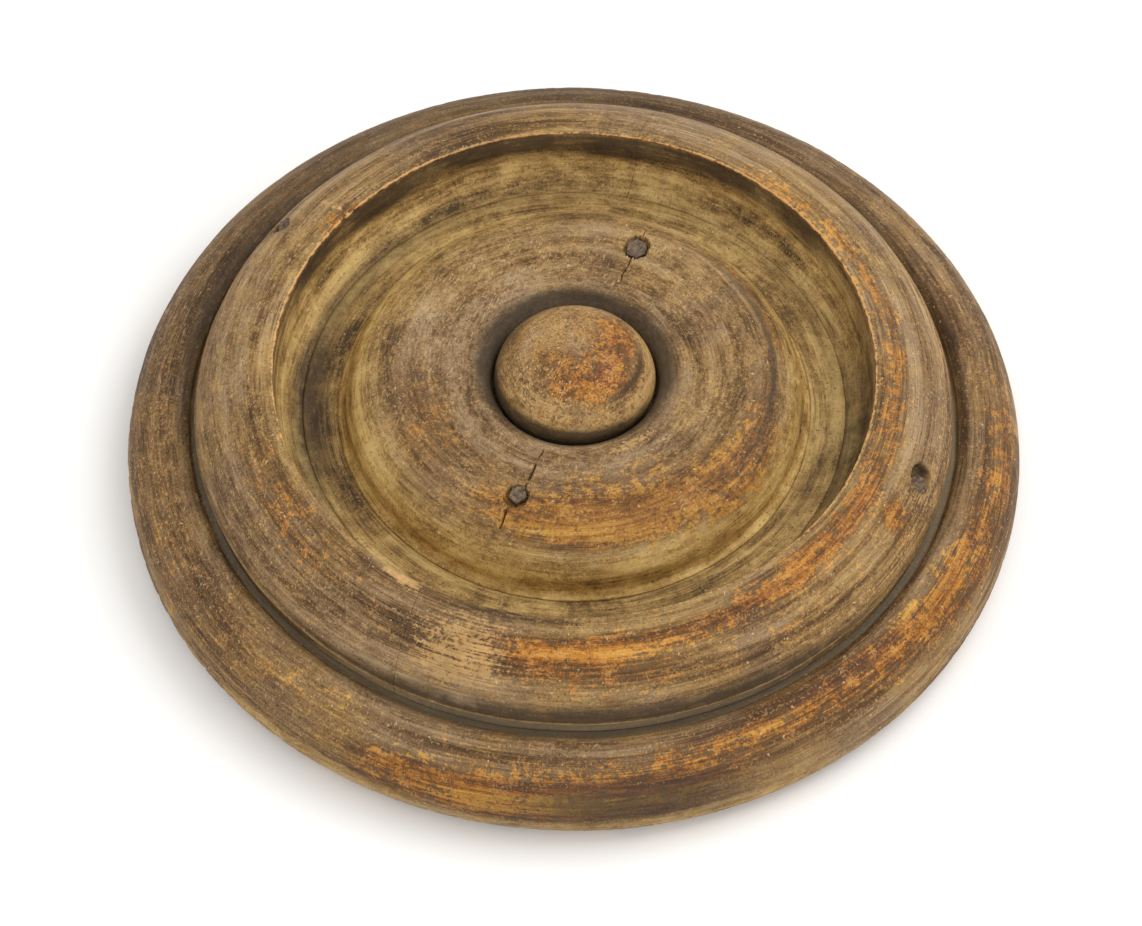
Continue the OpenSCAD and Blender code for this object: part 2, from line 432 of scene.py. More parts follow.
def aged_beech(name, seed, film, smoke, amber, bare_and_lit, olive, contrast=1.15, tick_amount=0.35, streak_mm=0.9,
               tool=1.0, grainy=0.4):
    """Worn film over turned beech. film, amber, bare and olive are lists of hex colours, dark first."""
    material = bpy.data.materials.new(name)
    material.use_nodes = True
    tree = material.node_tree
    tree.nodes.clear()
    place = add(tree, "ShaderNodeTexCoord").outputs["Object"]
    flat = add(tree, "ShaderNodeVectorMath", {0: place, 1: (1, 1, 0)}, operation="MULTIPLY")
    outward = add(tree, "ShaderNodeVectorMath", {0: flat}, operation="NORMALIZE")
    along = add(tree, "ShaderNodeAttribute", attribute_name="along").outputs["Fac"]

    def painted(layer):
        return add(tree, "ShaderNodeAttribute", attribute_name=layer).outputs["Fac"]

    def streaks(turns, width, shift, detail=3.0, roughness=0.6):
        """Noise drawn out round the axis: turns is features per radian, width is in mm."""
        height = maths(tree, "MULTIPLY_ADD", along, 1 / (width * mm), seed + shift)
        space = add(tree, "ShaderNodeVectorMath", {
            0: add(tree, "ShaderNodeVectorMath", {0: outward, "Scale": turns}, operation="SCALE"),
            1: add(tree, "ShaderNodeCombineXYZ", {"Z": height})}, operation="ADD")
        return add(tree, "ShaderNodeTexNoise", {
            "Vector": space, "Scale": 1.0, "Detail": detail, "Roughness": roughness}).outputs["Fac"]

    def patches(size, detail=4.0, roughness=0.6, distortion=0.0):
        """Noise with the same size every way, in mm."""
        return add(tree, "ShaderNodeTexNoise", {
            "Vector": add(tree, "ShaderNodeVectorMath", {0: place, 1: (seed, 0.3 * seed, 0)}, operation="ADD"),
            "Scale": 1 / (size * mm), "Detail": detail, "Roughness": roughness,
            "Distortion": distortion}).outputs["Fac"]

    fibre_place = add(tree, "ShaderNodeVectorRotate", {
        "Vector": place, "Angle": -grain_angle}, rotation_type="Z_AXIS")

    def fibres(length, width, detail=2.0):
        """Noise drawn out along the grain, in mm."""
        space = add(tree, "ShaderNodeVectorMath", {
            0: fibre_place, 1: (1 / (length * mm), 1 / (width * mm), 1 / (width * mm))}, operation="MULTIPLY")
        return add(tree, "ShaderNodeTexNoise", {
            "Vector": space, "Scale": 1.0, "Detail": detail, "Roughness": 0.6}).outputs["Fac"]

    def swing(value, gain):
        """A noise moved to swing round zero."""
        return maths(tree, "MULTIPLY", maths(tree, "SUBTRACT", value, 0.5), gain)

    def total(*values):
        """The sum of several values."""
        result = values[0]
        for value in values[1:]:
            result = maths(tree, "ADD", result, value)
        return result

    fine = streaks(4.0, streak_mm, 0.0, 4.0, 0.7)
    hair = streaks(2.2, 0.4, 31.0, 2.0)
    broad = streaks(1.3, 5.5, 7.3, 4.0)
    fleck = streaks(13.0, 1.2, 53.0, 3.0, 0.7)
    mottle = patches(1.7, 5.0, 0.7)
    blotch = patches(24, 4.0, 0.62, 0.6)
    clouds = patches(7, 3.0, 0.6, 0.8)
    grit = patches(0.6, 2.0, 0.7)
    fibre = fibres(8, 0.8)
    figure = fibres(60, 5.0, 3.0)

    lines = total(swing(fine, 1.3 * tool), swing(hair, 0.8 * tool), swing(broad, 1.9 * tool), swing(mottle, 0.3),
                  swing(grit, 0.4))
    grains = total(swing(mottle, 0.7), swing(fleck, 1.0 * tool), swing(fibre, 0.2), swing(broad, 1.3 * tool),
                   swing(clouds, 0.4), swing(grit, 0.7))
    granular = between(tree, total(patches(33, 2.0), maths(tree, "MULTIPLY", painted("ticks"), 0.35)),
                       grainy, grainy + 0.22)
    texture = add(tree, "ShaderNodeMix", {0: maths(tree, "MULTIPLY_ADD", granular, 0.7, 0.15), 2: lines, 3: grains})
    depth = maths(tree, "MULTIPLY_ADD", total(texture, swing(blotch, 0.5)), 0.5 * contrast, 0.5)
    colour = ramp(tree, depth, list(zip((0.18, 0.37, 0.47, 0.58, 0.8), film))).outputs["Color"]

    smoke_colour = ramp(tree, depth, list(zip((0.18, 0.37, 0.47, 0.58, 0.8), smoke))).outputs["Color"]
    smoky = between(tree, total(patches(38, 3.0, 0.6, 0.8), swing(broad, 0.4)), 0.42, 0.6)
    colour = mixed(tree, maths(tree, "MULTIPLY", smoky, 0.85), colour, smoke_colour)
    scratch = between(tree, streaks(0.8, 0.55, 91.0, 2.0), 0.62, 0.7)
    colour = mixed(tree, maths(tree, "MULTIPLY", scratch, 0.3), colour, hex_colour("#b39a70"))

    # Whey-olive film in the channel; on the knob's right side the same olive is painted light.
    cloudy = total(depth, swing(patches(15, 4.0, 0.7, 1.0), 0.5), swing(blotch, 0.3))
    olive_colour = ramp(tree, cloudy, list(zip((0.26, 0.47, 0.7), olive))).outputs["Color"]
    colour = mixed(tree, painted("olive"), colour, olive_colour)

    rubbing = total(swing(mottle, 1.8), swing(fleck, 0.9 * tool), swing(fine, 0.7 * tool), swing(clouds, 1.4),
                    swing(blotch, 0.5))
    varnished = between(tree, total(painted("amber"), swing(clouds, 0.8), swing(broad, 0.5 * tool)), 0.1, 0.8)
    colour = mixed(tree, maths(tree, "MULTIPLY", varnished, 0.75), colour, hex_colour("#4b2e13"))
    amber_mask = between(tree, total(painted("amber"), rubbing, swing(grit, 0.4)), 0.42, 0.72)
    amber_colour = ramp(tree, depth, list(zip((0.28, 0.44, 0.56, 0.74), amber))).outputs["Color"]
    colour = mixed(tree, maths(tree, "MULTIPLY", amber_mask, 0.85), colour, amber_colour)

    # Pale bare wood where the film is worn through, and the same pale colour as painted light on sides that face the
    # lamps.
    bare_and_lit_mask = between(tree, total(painted("bare_and_lit"), swing(mottle, 1.6), swing(fine, 1.5 * tool)), 0.48, 0.7)
    bare_and_lit_colour = ramp(tree, total(maths(tree, "MULTIPLY", fine, 0.6), maths(tree, "MULTIPLY", figure, 0.4)),
                       list(zip((0.36, 0.62), bare_and_lit))).outputs["Color"]
    colour = mixed(tree, maths(tree, "MULTIPLY", bare_and_lit_mask, 0.8), colour, bare_and_lit_colour)

    stipple = between(tree, total(patches(0.9, 2.0), swing(fleck, 0.5), swing(clouds, 0.7)), 0.57, 0.67)
    colour = mixed(tree, maths(tree, "MULTIPLY", stipple, 0.3), colour, hex_colour("#c19c62"))
    # A painted highlight: a thin pale line along the rim's lip, with pale worn wood at a chip.
    lip_highlight_and_wear_mask = between(tree, total(painted("edge"), swing(mottle, 2.0)), 0.35, 0.7)
    colour = mixed(tree, maths(tree, "MULTIPLY", lip_highlight_and_wear_mask, 0.8), colour, hex_colour("#d0a067"))
    tick = between(tree, fibres(2.6, 0.6, 1.0), 0.62, 0.7)
    tick_zone = between(tree, total(patches(9, 3.0), maths(tree, "MULTIPLY", painted("ticks"), 0.3)), 0.5, 0.66)
    speck = between(tree, patches(1.5, 1.5), 0.7, 0.75)
    light_spots = maths(tree, "MAXIMUM", maths(tree, "MULTIPLY", maths(tree, "MULTIPLY", tick, tick_zone), tick_amount),
                        maths(tree, "MULTIPLY", speck, 0.6))
    colour = mixed(tree, light_spots, colour, hex_colour("#cfb488"))

    pit = between(tree, patches(1.1, 1.5), 0.64, 0.7)
    flaw = between(tree, fibres(4.0, 0.45, 1.0), 0.66, 0.74)
    holes = maths(tree, "MAXIMUM", maths(tree, "MULTIPLY", pit, 0.55), maths(tree, "MULTIPLY", flaw, 0.22))
    colour = mixed(tree, holes, colour, hex_colour("#33271a"))

    # Dark stains, and painted shade in recesses, grooves and on sides turned from the lamps.
    stain_and_shade = total(painted("dark"), swing(mottle, 0.6), swing(fine, 0.4 * tool),
                    maths(tree, "MULTIPLY", painted("dark"), swing(clouds, 1.2)))
    dark_mask = between(tree, stain_and_shade, 0.1, 1.05)
    colour = mixed(tree, maths(tree, "MULTIPLY", dark_mask, 0.88), colour, hex_colour("#32261a"))
    grime_mask = between(tree, total(painted("grime"), swing(mottle, 0.8)), 0.2, 0.9)
    colour = mixed(tree, maths(tree, "MULTIPLY", grime_mask, 0.75), colour, hex_colour("#665d4d"))

    relief = maths(tree, "ADD", maths(tree, "MULTIPLY", fine, 0.5), maths(tree, "MULTIPLY", mottle, 0.25))
    relief = maths(tree, "SUBTRACT", relief, maths(tree, "MULTIPLY", holes, 0.4))
    bump = add(tree, "ShaderNodeBump", {"Height": relief, "Strength": 0.45, "Distance": 0.35 * mm})
    sheen = add(tree, "ShaderNodeMapRange", {0: maths(tree, "ADD", mottle, maths(tree, "MULTIPLY", amber_mask, -0.15)),
                                             1: 0.3, 2: 0.7, 3: 0.5, 4: 0.78})
    surface = add(tree, "ShaderNodeBsdfPrincipled", {
        "Base Color": colour, "Roughness": sheen, "Normal": bump, "Specular IOR Level": 0.22})
    add(tree, "ShaderNodeOutputMaterial", {"Surface": surface})
    return material


film_brown = ("#301f0c", "#5b4020", "#7d5e35", "#957749", "#ba9c69")
film_smoke = ("#2c1d0d", "#533b23", "#705538", "#886e50", "#aa9272")
worn_amber = ("#4a2809", "#7f4a10", "#ab6d1f", "#cb9340")
bare_and_lit_wood = ("#8a693d", "#bf9963")
whey_olive_and_lit = ("#46341c", "#907140", "#c4a668")

rim_wood = aged_beech("aged_beech_rim", 1.0, film_brown, film_smoke, worn_amber, bare_and_lit_wood, whey_olive_and_lit)
base_wood = aged_beech("aged_beech_base", 2.0, ("#2c1c0a", "#553b1e", "#735532", "#8b6c41", "#b09262"),
                       ("#281a0b", "#4d3620", "#684e33", "#80674a", "#a28a69"),
                       ("#43230a", "#76400b", "#a5691a", "#c99a3c"), bare_and_lit_wood, whey_olive_and_lit)
# The boss's olive is lighter than the whey olive of the other pieces: painted light on the flank, which faces the front
# lamp.
boss_wood = aged_beech("aged_beech_boss", 3.0, ("#31200d", "#5c4222", "#7e5f37", "#96784c", "#bc9e6b"),
                       ("#2d1e0f", "#563e26", "#73583a", "#8a7154", "#ad9574"),
                       ("#49290e", "#764a1c", "#9c6924", "#bd9041"), bare_and_lit_wood,
                       ("#5c4526", "#a98548", "#d8b874"), tool=0.85, grainy=0.34)
knob_wood = aged_beech("handled_beech_knob", 4.0, ("#35210a", "#694824", "#8f6937", "#aa864f", "#d0b384"),
                       ("#35210f", "#5e4126", "#7e5e3f", "#967859", "#ba9f7d"),
                       ("#522a0e", "#83491b", "#a96f25", "#cc9e4a"), bare_and_lit_wood, whey_olive_and_lit, 1.5, 0.7,
                       tool=0.4, grainy=0.1)
print("materials:", ", ".join(sorted(material.name for material in bpy.data.materials)))


# %% [markdown]
# ## Painting wear, stains, shade and light
#
# Where the wear lies isn't a rule, it is this object's own history. Some patches are painted
# shade and painted light instead: shade in recesses, grooves and on sides turned from the
# lamps, light on sides that face them. `paint` stores soft patches as vertex attributes that
# the finish reads: each patch has an angle round the axis in degrees from the front towards
# the right, a distance along the outline in millimetres, how far it reaches each way, and how
# strong it is. The finish's noise breaks up its edges.

# %% Painting
round_all = 1e6


def angles_of(points):
    """Degrees round the axis, from the front towards the right."""
    return np.degrees(np.arctan2(points[:, 0], -points[:, 1])) % 360


def coordinates(mesh):
    points = np.empty(len(mesh.vertices) * 3)
    mesh.vertices.foreach_get("co", points)
    return points.reshape(-1, 3)


def paint(mesh, layer, patches):
    """Stores soft patches (angle, reach, along, reach, strength) as a vertex attribute."""
    angle = angles_of(coordinates(mesh))
    along = np.empty(len(mesh.vertices))
    mesh.attributes["along"].data.foreach_get("value", along)
    total = np.zeros(len(along))
    for centre, reach, height, width, strength in patches:
        turn = np.abs((angle - centre + 180) % 360 - 180) / reach
        total += strength * np.exp(-turn ** 3 - (np.abs(along / mm - height) / width) ** 3)
    mesh.attributes.new(layer, "FLOAT", "POINT").data.foreach_set("value", np.clip(total, 0, 1))


# %% [markdown]
# ## Carving and damage
#
# Nail holes, cracks and chips are real hollows. A spot on the surface gets its own axes from
# `local_axes`: along the grain, across it, and out of the wood. The mesh round it is cut finer,
# and each vertex there is pushed in by a depth function.

# %% Carving tools
grain = Vector((math.sin(math.radians(339.5)), -math.cos(math.radians(339.5)), 0))


def smoothstep(low, high, value):
    t = np.clip((value - low) / (high - low), 0, 1)
    return t * t * (3 - 2 * t)


def ripple(values, seed):
    """Smooth one-dimensional noise between -1 and 1."""
    return np.array([noise.noise(Vector((v, seed, 0.5))) for v in values])


def local_axes(angle, slope):
    """Along-grain, across-grain and outward axes of a surface that falls away by slope degrees."""
    turn, tilt = math.radians(angle), math.radians(slope)
    out = Vector((math.sin(turn) * math.sin(tilt), -math.cos(turn) * math.sin(tilt), math.cos(tilt)))
    lengthwise = (grain - out * grain.dot(out)).normalized()
    return np.array([lengthwise, out.cross(lengthwise), out])


def carve(mesh, centre, axes, near, depth, cuts=3):
    """Cuts the mesh finer where near(a, w) is true and sinks it by depth(a, w), all in mm."""
    centre = np.array(centre)

    def flat(points):
        local = (points / mm - centre) @ axes.T
        return local[:, 0], local[:, 1], local[:, 2]

    form = bmesh.new()
    form.from_mesh(mesh)
    form.verts.ensure_lookup_table()
    points = np.array([v.co for v in form.verts])
    a, w, h = flat(points)
    close = near(a, w) & (np.abs(h) < 3.2)
    edges = [e for e in form.edges if close[e.verts[0].index] and close[e.verts[1].index]]
    bmesh.ops.subdivide_edges(form, edges=edges, cuts=cuts, use_grid_fill=True)
    points = np.array([v.co for v in form.verts])
    a, w, h = flat(points)
    reach = (np.abs(h) < 3.4) & near(a, w)
    sink = np.zeros(len(points))
    sink[reach] = depth(a[reach], w[reach])
    for vertex, push in zip(form.verts, sink):
        if push > 0:
            vertex.co -= Vector(axes[2] * push * mm)
    form.to_mesh(mesh)
    form.free()


def torn_hole(a, w, length, width, deep, seed):
    """A nail hole whose ends are torn along the grain."""
    tear = length / 2 * (1 + 0.1 * ripple(w * 1.9, seed)) + 1.5 * np.maximum(0, ripple(w * 3.1, seed + 4))
    side = width / 2 * (1 + 0.08 * ripple(a * 1.1, seed + 8))
    inside = np.minimum(tear * np.sqrt(np.clip(1 - (w / (side + 0.6)) ** 2, 0, 1)) - np.abs(a), side - np.abs(w))
    return deep * smoothstep(-0.1, 0.5, inside)


def crack(a, w, start, end, width, deep, seed):
    """A crack along the grain that wanders and thins out towards its end."""
    t = (a - start) / (end - start)
    middle = 0.5 * ripple(a * 0.35, seed) + 0.18 * ripple(a * 1.6, seed + 3)
    half = width / 2 * np.sqrt(np.clip(1 - t, 0, 1)) * (t >= 0) * (1 + 0.3 * ripple(a * 1.2, seed + 5))
    return deep * smoothstep(-0.12, 0.18, half - np.abs(w - middle)) * (t >= 0) * (t <= 1)


def warp(mesh):
    """The slight unevenness that every turned piece of old wood has. All pieces share it."""
    points = coordinates(mesh)
    moved = np.empty_like(points)
    for i, p in enumerate(points):
        v = Vector(p)
        fade = min(1.0, v.z / (14 * mm))
        shift = noise.noise_vector(v / (60 * mm)) * 0.4 + noise.noise_vector(v / (17 * mm)) * 0.14
        moved[i] = v + shift * (fade * mm)
    mesh.vertices.foreach_set("co", moved.ravel())
    mesh.update()


def roughen(mesh, patches, size, depth):
    """Small nicks of that size and depth, in mm, where soft patches say."""
    points = coordinates(mesh)
    angle = angles_of(points)
    along = np.empty(len(points))
    mesh.attributes["along"].data.foreach_get("value", along)
    normals = np.empty(len(points) * 3)
    mesh.vertex_normals.foreach_get("vector", normals)
    normals = normals.reshape(-1, 3)
    amount = np.zeros(len(points))
    for centre, reach, height, width, strength in patches:
        turn = np.abs((angle - centre + 180) % 360 - 180) / reach
        amount += strength * np.exp(-turn ** 3 - (np.abs(along / mm - height) / width) ** 3)
    for i in np.nonzero(amount > 0.03)[0]:
        nick = noise.fractal(Vector(points[i]) / (size * mm), 1.0, 2.0, 3)
        points[i] -= normals[i] * max(0.0, nick + 0.15) * amount[i] * depth * mm
    mesh.vertices.foreach_set("co", points.ravel())
    mesh.update()


def piece(name, mesh, nodes, body="root"):
    """Puts a finished mesh in the scene, in place of its CAD nodes."""
    made = bpy.data.objects.new(name, mesh)
    bpy.context.scene.collection.objects.link(made)
    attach(made, body)
    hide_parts(*nodes)
    return made


def smooth_shaded(mesh):
    mesh.polygons.foreach_set("use_smooth", [True] * len(mesh.polygons))
    mesh.update()


# %% [markdown]
# ## The base board
#
# One wide board, turned to a disc with a bullnose edge. The floor of the channel is its top.

# %% Base board
base = turned_mesh("base_board_visual", base_outline, 640, base_wood, 0.2, 11.0)
paint(base, "amber", [
    (0, round_all, 165, 25, 0.1), (345, 14, 154, 8, 0.6), (8, 13, 156, 9, 0.55), (42, 30, 170, 7, 0.42),
    (72, 30, 163, 9, 0.42), (0, 40, 165, 8, 0.2), (290, 40, 160, 12, 0.22)])
paint(base, "bare_and_lit", [
    (0, round_all, 60, 74, 0.5),
    (157, 12, 170, 4, 0.35), (22, 20, 143, 4, 0.25), (318, 15, 145, 5, 0.3), (75, 25, 172, 5, 0.25),
    (120, 20, 168, 5, 0.2), (0, round_all, 232, 12, 0.1)])
# Dark stains and painted shade: the flange behind the rim and the band beside the groove are darker as shade, mixed
# with dirt there; the channel floor darkens in patches, and a rust stain sits at the front.
paint(base, "dark", [
    (0, 62, 150, 13, 0.38),
    (0, round_all, 178.5, 3.5, 0.3), (200, 62, 168, 13, 0.6), (105, 30, 176, 5, 0.2), (255, 30, 176, 5, 0.3),
    (8, 14, 156, 9, 0.55), (70, 14, 228, 8, 0.35), (272, 22, 229, 8, 0.45),
    (205, 70, 225, 6, 0.35), (110, 30, 226, 6, 0.4), (260, 50, 226, 7, 0.3)])
paint(base, "grime", [(0, round_all, 183, 2.5, 0.8)])
paint(base, "olive", [(0, round_all, 230, 16, 1.0), (15, 20, 142, 6, 0.5), (318, 20, 144, 6, 0.5)])
paint(base, "ticks", [(275, 60, 168, 14, 0.9)])
roughen(base, [(300, 60, 146, 6, 1.0), (20, 60, 144, 6, 0.7), (160, 60, 160, 8, 0.4)], 2.6, 0.7)
roughen(base, [(0, round_all, 160, 30, 0.25)], 1.4, 0.35)
warp(base)
piece("base_board_visual", base, ["base_board"])

# %% [markdown]
# ## The rim
#
# The ring is turned from two boards, jointed edge to edge along the grain, a little to the
# left of the middle. It is turned whole and then cut along the joint, so the two boards fit.

# %% Rim ring
rim = turned_mesh("rim_visual", rim_outline, 1000, rim_wood, 0.2, 5.0)


def deep_along(mesh, angle, along):
    """The surface point in mm at an angle and a distance along the outline."""
    walk = np.concatenate([[0], np.cumsum(np.hypot(*np.diff(mesh, axis=0).T))])
    r, z = (np.interp(along, walk, mesh[:, i]) for i in (0, 1))
    turn = math.radians(angle)
    return np.array([r * math.sin(turn), -r * math.cos(turn), z])


right_spot = deep_along(rim_outline, 72.5, 14.5)
carve(rim, right_spot, local_axes(72.5, 52),
      lambda a, w: (np.abs(a) < 9) & (np.abs(w) < 7),
      lambda a, w: np.maximum(torn_hole(a, w, 9.0, 9.0, 3.1, 2.0),
                              crack(-a, w + 2.5, 2, 9, 0.8, 1.6, 3.0)))
left_spot = deep_along(rim_outline, 236.8, 16)
carve(rim, left_spot, local_axes(236.8, 47),
      lambda a, w: (np.abs(a) < 8) & (np.abs(w) < 7),
      lambda a, w: torn_hole(a, w, 5.5, 8.5, 2.6, 6.0))
paint(rim, "amber", [
    (0, round_all, 20, 30, 0.14), (303, 21, 27, 10, 0.3), (356, 18, 22, 7, 0.4), (20, 34, 27, 5, 0.42),
    (45, 20, 31, 5, 0.35), (63, 3, 17, 7, 0.55), (82, 28, 31, 5, 0.42), (120, 45, 37.9, 0.9, 0.6), (205, 60, 38, 0.9, 0.5),
    (130, 20, 34, 4, 0.35), (232, 6, 36, 3, 0.5), (10, 60, 38, 0.8, 0.3), (20, 25, 14, 6, 0.2)])
# Most of these pale patches are worn wood; the pale bands low on the outer face at the sides and back, and a short pale
# stretch of the lip on the right, are painted light.
paint(rim, "bare_and_lit", [
    (342, 9.2, 20, 15, 0.72), (327, 4.5, 36.5, 2.4, 1.0), (130, 28, 28, 9, 0.3), (112, 15, 12, 8, 0.28),
    (45, 18, 6, 5, 0.34), (100, 42, 6, 9, 0.45), (262, 34, 7, 8, 0.3), (200, 40, 7, 8, 0.25), (265, 28, 27, 9, 0.16),
    (165, 14, 54, 4, 0.35), (198, 18, 55, 5, 0.48), (226, 12, 53, 4, 0.4), (110, 25, 37.5, 1.2, 0.4), (72.5, 4.2, 14.5, 5.6, 0.65), (229.8, 0.8, 29, 8, 0.7), (315, 32, 0.3, 0.9, 0.6)])
# Dark stains in the cove and round the nails, and painted shade: a thin line under the lip, the lower front of the
# outer face, which is turned from the light, and the groove at the rim's foot, where it mixes with dirt.
paint(rim, "dark", [
    (130, 8, 44, 5, 0.6), (150, 10, 43, 4, 0.6), (172, 8, 45, 5, 0.5), (196, 12, 42, 4, 0.7), (222, 9, 45, 5, 0.6),
    (242, 8, 43, 4, 0.5), (82, 34, 50, 9, 0.35), (72.5, 2.2, 14.5, 3.6, 0.9),
    (70, 14, 68, 8, 0.35), (272, 22, 68, 9, 0.5), (205, 70, 65, 6, 0.35), (110, 30, 66, 6, 0.4), (260, 50, 66, 7, 0.3), (0, 45, 8, 8, 0.22),
    (2, 42, 1.5, 5.5, 0.75), (315, 30, 1.8, 1.2, 0.35), (40, 30, 1, 3, 0.4), (73, 4, 15, 7, 0.45),
    (237, 3, 16, 7, 0.4), (96, 16, 26, 8, 0.15), (190, 75, 44, 6, 0.55), (75, 26, 55, 12, 0.5),
    (300, 30, 56, 12, 0.35), (0, round_all, 39.8, 1.4, 0.35), (348, 20, 36.5, 2.5, 0.4), (150, 65, 106, 6, 0.8), (270, 60, 106, 6, 0.9)])
# A painted highlight along the lip, and pale worn wood at a chip and at a worn spot.
paint(rim, "edge", [
    (105, 60, 37.7, 0.75, 0.8), (240, 55, 37.7, 0.75, 0.85), (175, 60, 37.7, 0.6, 0.35), (30, 40, 37.7, 0.6, 0.4),
    (327, 4.2, 36.3, 1.8, 0.5), (229.8, 0.9, 30, 7, 0.5)])
paint(rim, "grime", [(2, 40, 106, 4, 0.9), (100, 30, 106, 4, 0.4)])
paint(rim, "olive", [(0, round_all, 56, 17, 1.0)])
paint(rim, "ticks", [(262, 32, 22, 12, 0.9), (305, 22, 20, 12, 0.7), (180, 60, 52, 12, 0.6)])
roughen(rim, [(230, 50, 38, 2.2, 0.8), (130, 60, 38, 2.2, 0.6), (60, 40, 38.5, 1.5, 0.5), (229.5, 3.5, 37, 4, 1.6),
              (0, round_all, 0.5, 1.2, 0.4)], 2.2, 0.9)
roughen(rim, [(0, round_all, 18, 22, 0.25)], 1.4, 0.3)
warp(rim)

joint = Vector(np.array((math.cos(math.radians(339.5)), math.sin(math.radians(339.5)), 0)))
for name, side in (("rim_board_left", -1), ("rim_board_right", 1)):
    form = bmesh.new()
    form.from_mesh(rim)
    bmesh.ops.bisect_plane(form, geom=form.verts[:] + form.edges[:] + form.faces[:], dist=1e-7,
                           plane_co=joint * (-15 + side * 0.06) * mm, plane_no=joint * side,
                           clear_inner=True)
    bmesh.ops.holes_fill(form, edges=[e for e in form.edges if e.is_boundary], sides=0)
    open_edges = sum(not e.is_manifold for e in form.edges)
    board = bpy.data.meshes.new(name + "_visual")
    form.to_mesh(board)
    form.free()
    board.materials.append(rim_wood)
    smooth_shaded(board)
    print(name, len(board.polygons), "faces,", open_edges, "open edges")
    piece(name + "_visual", board, [name])

# %% [markdown]
# ## The boss and the knob

# %% Boss and knob
boss = turned_mesh("centre_boss_visual", boss_outline, 520, boss_wood, 0.18, 7.0)
front_spot = deep_along(boss_outline, 340, 103.2)
back_spot = deep_along(boss_outline, 158.5, 101.8)
carve(boss, front_spot, local_axes(340, 0),
      lambda a, w: (np.abs(w) < 1.6) & (a < 20) & (a > -24) | (np.hypot(a, w) < 6.5),
      lambda a, w: np.maximum.reduce([
          torn_hole(a, w, 9.0, 8.0, 2.8, 1.0), crack(a, w + 1, 2.5, 16.5, 0.85, 2.6, 4.0),
          crack(-a, w - 1.4, 2.5, 21, 0.85, 2.6, 9.0)]))
carve(boss, back_spot, local_axes(158.5, 0),
      lambda a, w: (np.abs(w) < 1.6) & (a < 18) & (a > -12) | (np.hypot(a, w) < 6.5),
      lambda a, w: np.maximum.reduce([
          torn_hole(a, w, 9.8, 8.6, 2.8, 12.0), crack(a, w, 4, 16, 0.6, 2.4, 6.0),
          crack(-a, w, 4, 9.5, 0.6, 1.6, 8.0)]))
paint(boss, "amber", [
    (0, round_all, 100, 25, 0.12), (36, 50, 94, 8, 0.62), (50, 24, 84, 4, 0.38), (350, 30, 98, 10, 0.42),
    (18, 32, 106, 12, 0.36), (290, 26, 104, 12, 0.32), (120, 25, 88, 3, 0.4)])
# Worn bare wood, and a faint ring low on the flank that is painted light where the flank faces the front.
paint(boss, "bare_and_lit", [
    (32, 17, 122.5, 2.4, 0.68), (205, 38, 117, 5, 0.3), (265, 30, 124, 3, 0.25), (260, 20, 95, 5, 0.2),
    (158.5, 2.5, 94, 4, 0.6), (0, round_all, 74, 8, 0.12)])
# Stains round the nails and a dark line on the crown's right, and painted shade mixed with dirt in the well round the
# knob.
paint(boss, "dark", [
    (100, 48, 91.6, 1.7, 0.7), (158.5, 5, 102, 7, 0.3), (340, 4, 104, 8, 0.35), (60, 60, 100, 12, 0.1),
    (120, 85, 130, 7, 1.0), (235, 62, 130, 7, 1.0), (320, 45, 131, 5, 0.6), (20, 40, 132, 4, 0.6)])
paint(boss, "grime", [(0, round_all, 131, 5, 0.5)])
paint(boss, "olive", [(0, round_all, 73, 12.5, 1.0), (240, 60, 86, 10, 0.5)])
paint(boss, "ticks", [(220, 50, 114, 10, 0.9), (250, 40, 100, 12, 0.7)])
warp(boss)
piece("centre_boss_visual", boss, ["centre_boss"])

knob = turned_mesh("centre_knob_visual", knob_outline, 320, knob_wood, 0.12, 3.0)
across = Vector((math.cos(math.radians(339.5)), math.sin(math.radians(339.5)), 0))
carve(knob, (0, 0, tenon_end), np.array([across, grain, (0, 0, -1)]),
      lambda a, w: (np.abs(w) < 2.2) & (np.abs(a) < 10.4),
      lambda a, w: 3.0 * smoothstep(-0.1, 0.1, 1.42 - np.abs(w)), cuts=1)
# Painted light and shade on the knob: the pale patch low on the right is its lit side, the dark ring round its foot is
# shade from the well, and the dark patch on the left is its shaded side.
paint(knob, "amber", [(70, 95, 100, 9, 0.62), (15, 70, 90, 8, 0.42), (120, 30, 92, 6, 0.4), (300, 70, 103, 8, 0.36)])
paint(knob, "bare_and_lit", [(325, 60, 86, 9, 0.6), (85, 55, 80, 7, 0.85), (220, 40, 96, 6, 0.2), (0, round_all, 5, 12, 0.5)])
paint(knob, "dark", [(300, 80, 74.5, 6, 1.3), (15, 55, 74.5, 5, 1.2), (65, 38, 88, 1.4, 0.9), (235, 45, 85, 6, 0.6)])
paint(knob, "grime", [(310, 100, 71, 5, 0.8)])
paint(knob, "olive", [(85, 50, 80, 7, 0.8), (330, 60, 84, 8, 0.5)])
paint(knob, "ticks", [(300, 60, 90, 8, 0.8)])
warp(knob)
piece("centre_knob_visual", knob, ["centre_knob"])

# %% [markdown]
# ## The wedge
#
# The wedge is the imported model's own piece, driven up into the sawn end of the tenon. It is
# pale split beech, so it only needs a finish: long fibres, with the small dark pores of cut
# ends on the face that shows.

